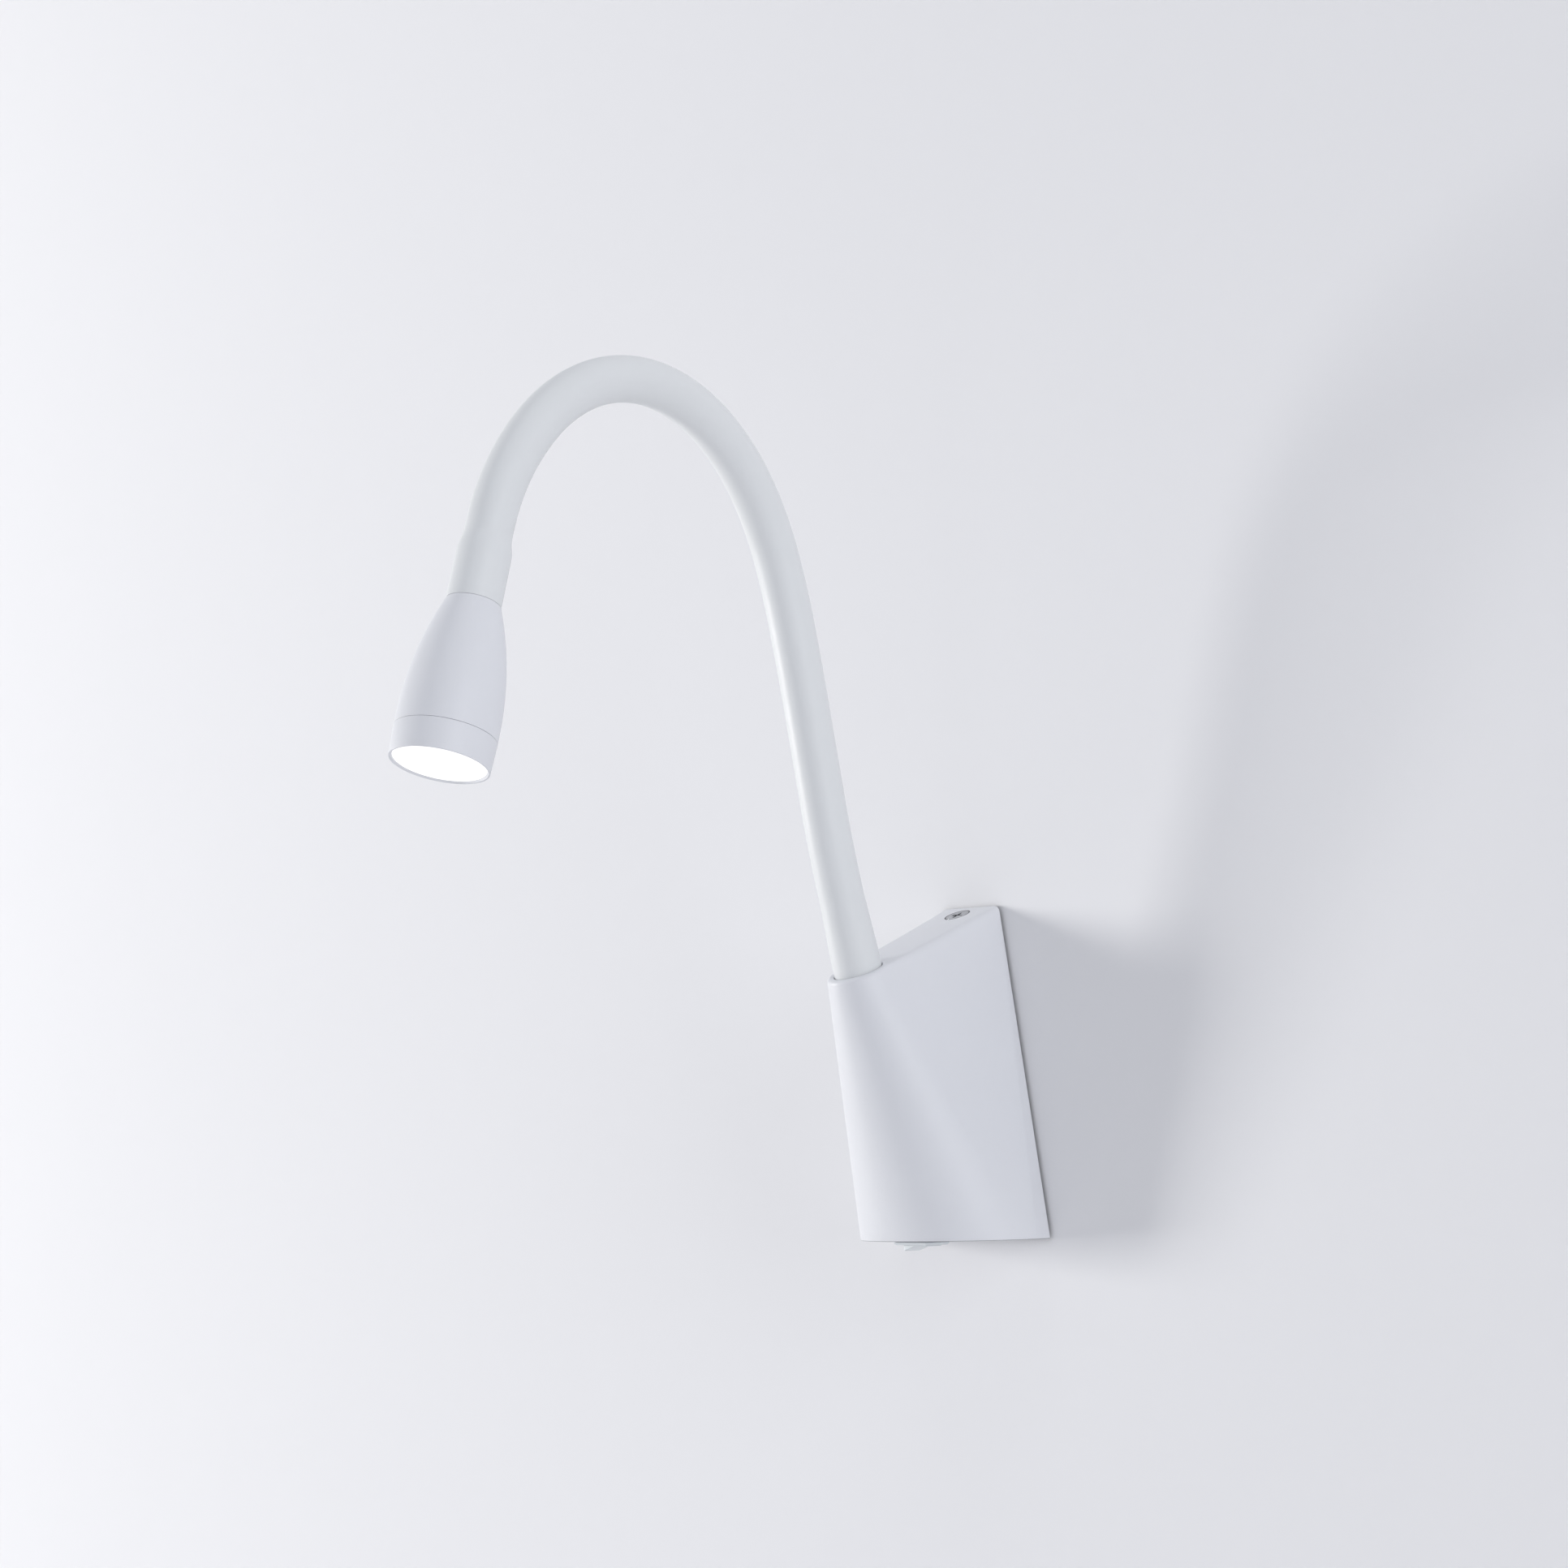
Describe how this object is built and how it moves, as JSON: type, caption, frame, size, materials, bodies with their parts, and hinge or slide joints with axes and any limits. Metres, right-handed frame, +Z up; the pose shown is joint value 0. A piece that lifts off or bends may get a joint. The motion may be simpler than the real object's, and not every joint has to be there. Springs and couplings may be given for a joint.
{
  "type": "flexible wall sconce",
  "caption": "White wall-mounted reading light: tapered block with a rocker switch below, bendable sleeved gooseneck and a small bullet-shaped LED head.",
  "frame": {"origin": "middle of the wall face, midway between the two wall slots", "axes": "+Y into the wall, lamp standing out towards -Y, +Z up, +X to the right seen from the room"},
  "size_m": [0.064, 0.242, 0.268],
  "materials": {
    "housing": "white powder coat, fine satin texture",
    "sleeve": "smooth matt white silicone",
    "core": "wound steel, oiled",
    "plated": "zinc plated",
    "brass": "turned brass",
    "bracket": "zinc plated sheet",
    "moulding": "white moulded plastic",
    "switch": "white semi-gloss moulding",
    "board": "green board",
    "board_white": "white solder resist on aluminium",
    "parts": "dark components",
    "emitter": "yellow phosphor",
    "carrier": "bare aluminium",
    "reflector": "bright vacuum-plated",
    "seal": "translucent grey silicone",
    "lens": "opal diffuser, lit",
    "lead_brown": "brown insulation",
    "lead_blue": "blue insulation",
    "lead_green": "green and yellow insulation",
    "lead_grey": "dark grey insulation"
  },
  "bodies": {
    "block": {"wall_bracket": "bracket", "block_shell": "housing", "cover_screw": "plated", "terminal_block": "moulding", "terminal_cages": "brass", "terminal_screws": "plated", "bracket_screws": "plated", "driver_case": "moulding", "driver_lid": "moulding", "driver_board": "board", "driver_parts": "parts", "earth_screw": "brass", "switch_housing": "switch", "switch_terminals": "brass", "base_ferrule": "brass", "base_washer": "plated", "base_lock_nut": "plated", "lead_live": "lead_brown", "lead_switched": "lead_brown", "lead_neutral": "lead_blue", "lead_earth": "lead_green", "lead_led": "lead_grey", "neck_core_base": "core", "neck_sleeve_base": "sleeve"},
    "rocker": {"switch_rocker": "switch"},
    "neck_1": {"neck_core_1": "core", "neck_sleeve_1": "sleeve"},
    "neck_2": {"neck_core_2": "core", "neck_sleeve_2": "sleeve"},
    "neck_3": {"neck_core_3": "core", "neck_sleeve_3": "sleeve"},
    "neck_4": {"neck_core_4": "core", "neck_sleeve_4": "sleeve"},
    "neck_5": {"neck_core_5": "core", "neck_sleeve_5": "sleeve"},
    "neck_6": {"neck_core_6": "core", "neck_sleeve_6": "sleeve"},
    "neck_7": {"neck_core_7": "core", "neck_sleeve_7": "sleeve"},
    "neck_8": {"neck_core_8": "core", "neck_sleeve_8": "sleeve"},
    "neck_9": {"neck_core_9": "core", "neck_sleeve_9": "sleeve"},
    "neck_10": {"neck_core_10": "core", "neck_sleeve_10": "sleeve"},
    "neck_11": {"neck_core_11": "core", "neck_sleeve_11": "sleeve"},
    "neck_12": {"neck_core_12": "core", "neck_sleeve_12": "sleeve", "head_ferrule": "brass", "head_shell": "housing", "led_carrier": "carrier", "led_board": "board_white", "board_screws": "plated", "led_emitter": "emitter", "reflector": "reflector", "lens_seal": "seal", "lens": "lens", "front_bezel": "housing"}
  },
  "joints": [
    {"name": "neck_lower_bend", "type": "hinge", "parent": "block", "child": "neck_1", "pos_m": [0, -0.05917, 0.05648], "axis": [0.9962, 0.0838, 0.024], "range_deg": [-12, 20]},
    {"name": "neck_sway", "type": "hinge", "parent": "neck_1", "child": "neck_2", "pos_m": [-0.0001, -0.06582, 0.08367], "axis": [-0.0869, 0.9763, 0.1983], "range_deg": [-16, 16]},
    {"name": "neck_bend_3", "type": "hinge", "parent": "neck_2", "child": "neck_3", "pos_m": [-0.00029, -0.07141, 0.11111], "axis": [0.9962, 0.0838, 0.024], "range_deg": [-12, 20]},
    {"name": "neck_sway_4", "type": "hinge", "parent": "neck_3", "child": "neck_4", "pos_m": [-0.00044, -0.07748, 0.13844], "axis": [-0.0871, 0.9687, 0.2324], "range_deg": [-16, 16]},
    {"name": "neck_bend_5", "type": "hinge", "parent": "neck_4", "child": "neck_5", "pos_m": [-0.00041, -0.08353, 0.15854], "axis": [0.9962, 0.0838, 0.024], "range_deg": [-9.88, 3.29]},
    {"name": "neck_bend_6", "type": "hinge", "parent": "neck_5", "child": "neck_6", "pos_m": [-0.00007, -0.09294, 0.17725], "axis": [0.9962, 0.0838, 0.024], "range_deg": [-15.57, 5.19]},
    {"name": "neck_bend_7", "type": "hinge", "parent": "neck_6", "child": "neck_7", "pos_m": [0.00074, -0.10704, 0.19268], "axis": [0.9962, 0.0838, 0.024], "range_deg": [-19.02, 6.34]},
    {"name": "neck_upper_bend", "type": "hinge", "parent": "neck_7", "child": "neck_8", "pos_m": [0.00205, -0.12538, 0.20258], "axis": [0.9962, 0.0838, 0.024], "range_deg": [-21, 7]},
    {"name": "neck_bend_9", "type": "hinge", "parent": "neck_8", "child": "neck_9", "pos_m": [0.00372, -0.14603, 0.20515], "axis": [0.9962, 0.0838, 0.024], "range_deg": [-21, 7]},
    {"name": "neck_bend_10", "type": "hinge", "parent": "neck_9", "child": "neck_10", "pos_m": [0.00554, -0.1662, 0.20003], "axis": [0.9962, 0.0838, 0.024], "range_deg": [-18.78, 6.26]},
    {"name": "neck_bend_11", "type": "hinge", "parent": "neck_10", "child": "neck_11", "pos_m": [0.00728, -0.18362, 0.18858], "axis": [0.9962, 0.0838, 0.024], "range_deg": [-15.81, 5.27]},
    {"name": "neck_bend_12", "type": "hinge", "parent": "neck_11", "child": "neck_12", "pos_m": [0.00881, -0.19723, 0.17273], "axis": [0.9962, 0.0838, 0.024], "range_deg": [-14.82, 4.94]},
    {"name": "switch_rocker", "type": "hinge", "parent": "block", "child": "rocker", "pos_m": [0, -0.0265, -0.0508], "axis": [0, -1, 0], "range_deg": [-18, 0]}
  ],
  "couplings": [
    {"joint": "neck_bend_3", "follows": "neck_lower_bend", "ratio": 1},
    {"joint": "neck_sway_4", "follows": "neck_sway", "ratio": 1},
    {"joint": "neck_bend_5", "follows": "neck_upper_bend", "ratio": 0.47059},
    {"joint": "neck_bend_6", "follows": "neck_upper_bend", "ratio": 0.74118},
    {"joint": "neck_bend_7", "follows": "neck_upper_bend", "ratio": 0.90588},
    {"joint": "neck_bend_9", "follows": "neck_upper_bend", "ratio": 1},
    {"joint": "neck_bend_10", "follows": "neck_upper_bend", "ratio": 0.89412},
    {"joint": "neck_bend_11", "follows": "neck_upper_bend", "ratio": 0.75294},
    {"joint": "neck_bend_12", "follows": "neck_upper_bend", "ratio": 0.70588}
  ]
}
